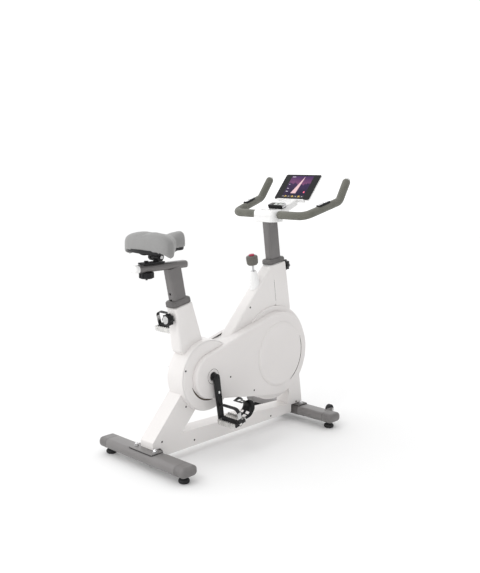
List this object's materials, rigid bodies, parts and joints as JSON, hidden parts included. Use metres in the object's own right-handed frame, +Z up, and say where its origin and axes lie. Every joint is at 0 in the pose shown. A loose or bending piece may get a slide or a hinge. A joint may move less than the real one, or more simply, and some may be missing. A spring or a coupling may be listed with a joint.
{
  "type": "exercise bike",
  "caption": "Indoor cycle with a moulded body over a belt-driven flywheel, adjustable saddle and handlebar posts, pedals with toe cages, and a tablet on a tray.",
  "frame": {"origin": "on the floor, under the middle of the bike's box", "axes": "+X to the front of the bike, +Y to the rider's left, +Z up"},
  "size_m": [1, 0.5, 1.0856],
  "materials": {
    "body_white": "gloss moulding",
    "frame_white": "powder coat",
    "post_grey": "satin powder coat",
    "cap_grey": "fine grain",
    "knob_black": "satin",
    "collar_grey": "satin",
    "trim_white": "gloss moulding",
    "brake_grey": "satin",
    "brake_red": "gloss",
    "bolt_steel": "plated",
    "spring_steel": "bright",
    "crank_black": "gloss black",
    "pedal_alloy": "cast",
    "cage_black": "satin",
    "belt_rubber": "ribbed",
    "pulley_alloy": "machined",
    "wheel_iron": "turned rim",
    "foam_grey": "foam",
    "cushion_grey": "matt imitation leather",
    "shell_black": "grained",
    "tube_grey": "satin",
    "screen_black": "gloss",
    "meter_black": "gloss",
    "button_grey": "soft",
    "sensor_chrome": "polished",
    "foot_rubber": "moulded",
    "tyre_black": "hard"
  },
  "bodies": {
    "frame": {"main_frame": "frame_white", "left_shell": "body_white", "right_shell": "body_white", "head_cover": "body_white", "belt_cover": "body_white", "left_drive_cover": "body_white", "cover_screws": "knob_black", "rear_stabiliser": "post_grey", "front_stabiliser": "post_grey", "end_caps": "cap_grey", "stabiliser_bolts": "bolt_steel", "bearings": "bolt_steel", "seat_collar": "collar_grey", "handlebar_collar": "collar_grey", "seat_lock_spring": "spring_steel", "handlebar_lock_spring": "spring_steel", "brake_boss": "trim_white", "brake_spring": "spring_steel", "drive_belt": "belt_rubber"},
    "front_left_foot": {"foot_front_left": "foot_rubber"},
    "front_right_foot": {"foot_front_right": "foot_rubber"},
    "rear_left_foot": {"foot_rear_left": "foot_rubber"},
    "rear_right_foot": {"foot_rear_right": "foot_rubber"},
    "left_transport": {"transport_wheel_left": "tyre_black"},
    "right_transport": {"transport_wheel_right": "tyre_black"},
    "seat_mast": {"seat_post": "post_grey", "slide_end_caps": "trim_white"},
    "carriage": {"saddle_carriage": "bolt_steel"},
    "slide_lock": {"slide_knob": "knob_black"},
    "saddle": {"saddle_clamp": "knob_black", "saddle_clamp_bolt": "bolt_steel", "saddle_rails": "crank_black", "saddle_base": "shell_black", "saddle_cushion": "cushion_grey"},
    "seat_lock": {"seat_lock_knob": "knob_black"},
    "handlebar": {"handlebar_post": "post_grey", "stem_housing": "trim_white", "handlebar_tube": "tube_grey", "foam_grips": "foam_grey", "pulse_sensors": "sensor_chrome", "console_meter": "meter_black", "tablet_tray": "trim_white"},
    "handlebar_lock": {"handlebar_lock_knob": "knob_black"},
    "meter_button": {"console_button": "button_grey"},
    "tablet_body": {"tablet": "screen_black"},
    "brake_push": {"brake_rod": "bolt_steel"},
    "brake_grip": {"brake_knob": "brake_grey", "brake_cap": "brake_red"},
    "magnet_yoke": {"magnet_bracket": "bolt_steel"},
    "crankset": {"crank_spindle": "bolt_steel", "drive_pulley": "pulley_alloy", "right_crank": "crank_black", "left_crank": "crank_black", "pedal_spindles": "bolt_steel"},
    "right_pedal_body": {"right_pedal": "pedal_alloy", "right_toe_cage": "cage_black"},
    "left_pedal_body": {"left_pedal": "pedal_alloy", "left_toe_cage": "cage_black"},
    "flywheel_body": {"flywheel": "wheel_iron", "flywheel_axle": "bolt_steel"}
  },
  "joints": [
    {"name": "flywheel_spin", "type": "hinge", "parent": "frame", "child": "flywheel_body", "pos_m": [0.233, 0, 0.33], "axis": [0, 1, 0], "continuous": true},
    {"name": "crank_spin", "type": "hinge", "parent": "frame", "child": "crankset", "pos_m": [-0.173, 0, 0.3125], "axis": [0, 1, 0], "continuous": true},
    {"name": "right_pedal_spin", "type": "hinge", "parent": "crankset", "child": "right_pedal_body", "pos_m": [-0.14817, -0.156, 0.14432], "axis": [0, 1, 0], "continuous": true},
    {"name": "left_pedal_spin", "type": "hinge", "parent": "crankset", "child": "left_pedal_body", "pos_m": [-0.19783, 0.156, 0.48068], "axis": [0, 1, 0], "continuous": true},
    {"name": "seat_post_slide", "type": "slide", "parent": "frame", "child": "seat_mast", "axis": [-0.1994, 0, 0.9799], "range_m": [-0.09, 0.12]},
    {"name": "seat_lock_pull", "type": "slide", "parent": "frame", "child": "seat_lock", "axis": [-1, 0, 0], "range_m": [0, 0.012], "stiffness_N_per_m": 800, "deforming": ["seat_lock_spring"]},
    {"name": "saddle_slide", "type": "slide", "parent": "seat_mast", "child": "carriage", "axis": [1, 0, 0], "range_m": [-0.03, 0.055]},
    {"name": "slide_knob_turn", "type": "hinge", "parent": "carriage", "child": "slide_lock", "pos_m": [-0.433, 0, 0.73], "axis": [0, 0, 1], "range_deg": [0, 720]},
    {"name": "saddle_tilt", "type": "hinge", "parent": "carriage", "child": "saddle", "pos_m": [-0.387, 0, 0.796], "axis": [0, 1, 0], "range_deg": [-8, 8]},
    {"name": "handlebar_post_slide", "type": "slide", "parent": "frame", "child": "handlebar", "axis": [-0.1357, 0, 0.9907], "range_m": [-0.045, 0.065]},
    {"name": "handlebar_lock_pull", "type": "slide", "parent": "frame", "child": "handlebar_lock", "axis": [1, 0, 0], "range_m": [0, 0.012], "stiffness_N_per_m": 800, "deforming": ["handlebar_lock_spring"]},
    {"name": "brake_press", "type": "slide", "parent": "frame", "child": "brake_push", "axis": [0.1736, 0, -0.9848], "range_m": [0, 0.006], "stiffness_N_per_m": 3000, "springref_m": -0.003, "deforming": ["brake_spring"]},
    {"name": "brake_turn", "type": "hinge", "parent": "brake_push", "child": "brake_grip", "pos_m": [0.13142, 0, 0.733], "axis": [-0.1736, 0, 0.9848], "range_deg": [0, 1080]},
    {"name": "magnet_swing", "type": "hinge", "parent": "frame", "child": "magnet_yoke", "pos_m": [0.112, 0, 0.5], "axis": [0, 1, 0], "range_deg": [0, 3.2]},
    {"name": "left_transport_spin", "type": "hinge", "parent": "frame", "child": "left_transport", "pos_m": [0.45, 0.172, 0.06], "axis": [0, 1, 0], "continuous": true},
    {"name": "right_transport_spin", "type": "hinge", "parent": "frame", "child": "right_transport", "pos_m": [0.45, -0.172, 0.06], "axis": [0, 1, 0], "continuous": true},
    {"name": "front_left_foot_turn", "type": "hinge", "parent": "frame", "child": "front_left_foot", "pos_m": [0.392, 0.215, 0.02], "axis": [0, 0, 1], "range_deg": [-360, 360]},
    {"name": "front_right_foot_turn", "type": "hinge", "parent": "frame", "child": "front_right_foot", "pos_m": [0.392, -0.215, 0.02], "axis": [0, 0, 1], "range_deg": [-360, 360]},
    {"name": "rear_left_foot_turn", "type": "hinge", "parent": "frame", "child": "rear_left_foot", "pos_m": [-0.452, 0.215, 0.02], "axis": [0, 0, 1], "range_deg": [-360, 360]},
    {"name": "rear_right_foot_turn", "type": "hinge", "parent": "frame", "child": "rear_right_foot", "pos_m": [-0.452, -0.215, 0.02], "axis": [0, 0, 1], "range_deg": [-360, 360]},
    {"name": "button_press", "type": "slide", "parent": "handlebar", "child": "meter_button", "axis": [0.309, 0, -0.9511], "range_m": [0, 0.0015], "stiffness_N_per_m": 400},
    {"name": "tablet_lift", "type": "slide", "parent": "handlebar", "child": "tablet_body", "axis": [0.6468, 0, 0.7627], "range_m": [0, 0.16]}
  ],
  "couplings": [
    {"joint": "crank_spin", "follows": "flywheel_spin", "ratio": 0.28205},
    {"joint": "magnet_swing", "follows": "brake_press", "rad_per_m": 8.9}
  ]
}
